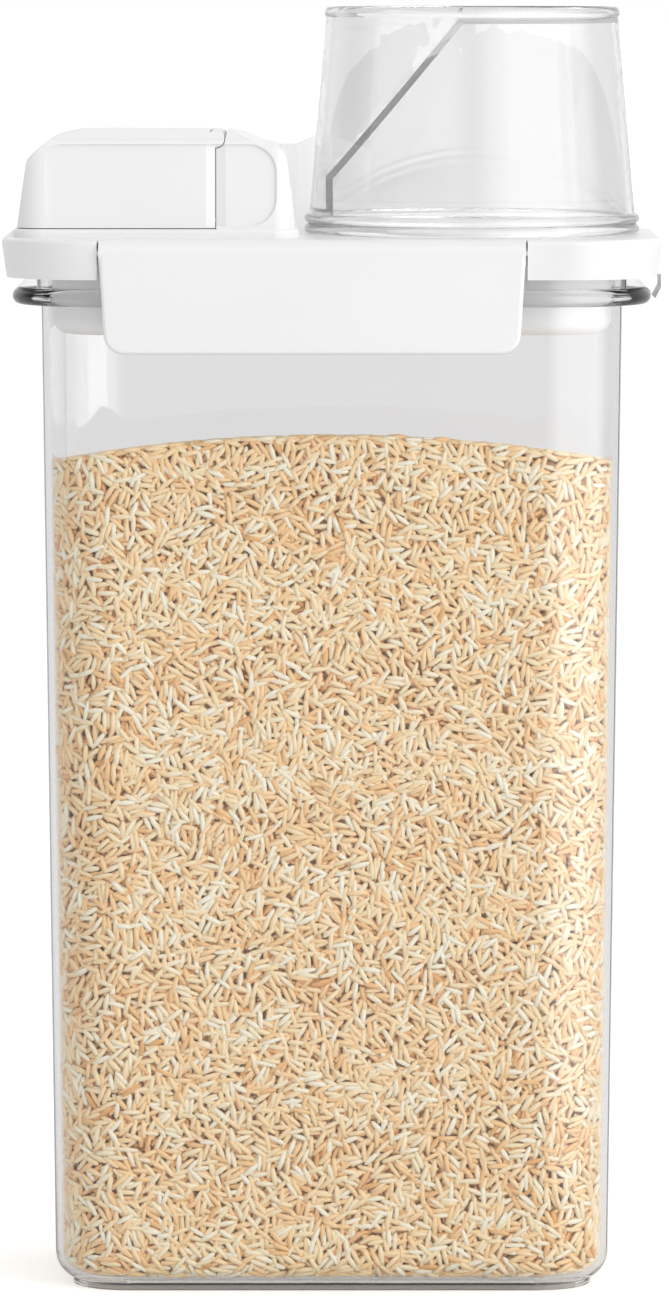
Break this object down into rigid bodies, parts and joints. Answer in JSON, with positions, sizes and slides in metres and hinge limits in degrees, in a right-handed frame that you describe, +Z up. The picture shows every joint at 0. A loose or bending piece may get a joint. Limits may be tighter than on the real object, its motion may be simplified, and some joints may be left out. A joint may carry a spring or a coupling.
{
  "type": "rice storage container",
  "caption": "Tall clear tapered keeper with a white latched lid, flip-cap pouring spout, wide latch flaps, a stored clear measuring cup and a fill of rice.",
  "frame": {"origin": "on the ground under the middle of the body, at the flat underside of the foot", "axes": "+Z up, -Y towards the front with its latch, -X towards the pouring end, +X towards the end with the measuring cup"},
  "size_m": [0.1558, 0.1022, 0.3002],
  "materials": {
    "clear_plastic": "gloss",
    "clear_cup_plastic": "gloss",
    "white_plastic": "satin",
    "rice": "matte grains",
    "silicone": "matte",
    "steel_pin": "bright"
  },
  "bodies": {
    "container": {"container_body": "clear_plastic", "rice_fill": "rice"},
    "lid": {"lid_cover": "white_plastic", "lid_tray": "white_plastic", "lid_gasket": "silicone", "spout_collar": "white_plastic", "cap_hinge_pin": "steel_pin", "front_latch_pin": "steel_pin", "rear_latch_pin": "steel_pin"},
    "cap": {"spout_cap": "white_plastic", "spout_seal": "silicone"},
    "front_flap": {"front_latch": "white_plastic"},
    "rear_flap": {"rear_latch": "white_plastic"},
    "cup": {"measuring_cup": "clear_cup_plastic"}
  },
  "joints": [
    {"name": "lid_lift", "type": "slide", "parent": "container", "child": "lid", "axis": [0, 0, 1], "range_m": [0, 0.024]},
    {"name": "front_latch_swing", "type": "hinge", "parent": "lid", "child": "front_flap", "pos_m": [-0.0045, -0.0481, 0.2439], "axis": [-1, 0, 0], "range_deg": [0, 115]},
    {"name": "rear_latch_swing", "type": "hinge", "parent": "lid", "child": "rear_flap", "pos_m": [-0.0045, 0.0481, 0.2439], "axis": [1, 0, 0], "range_deg": [0, 115]},
    {"name": "cap_flip", "type": "hinge", "parent": "lid", "child": "cap", "pos_m": [-0.027, 0, 0.2698], "axis": [0, 1, 0], "range_deg": [0, 100]},
    {"name": "cup_lift", "type": "slide", "parent": "lid", "child": "cup", "axis": [0, 0, 1], "range_m": [0, 0.06]}
  ],
  "couplings": [
    {"joint": "front_latch_swing", "follows": "lid_lift", "rad_per_m": 83.333},
    {"joint": "rear_latch_swing", "follows": "lid_lift", "rad_per_m": 83.333}
  ]
}
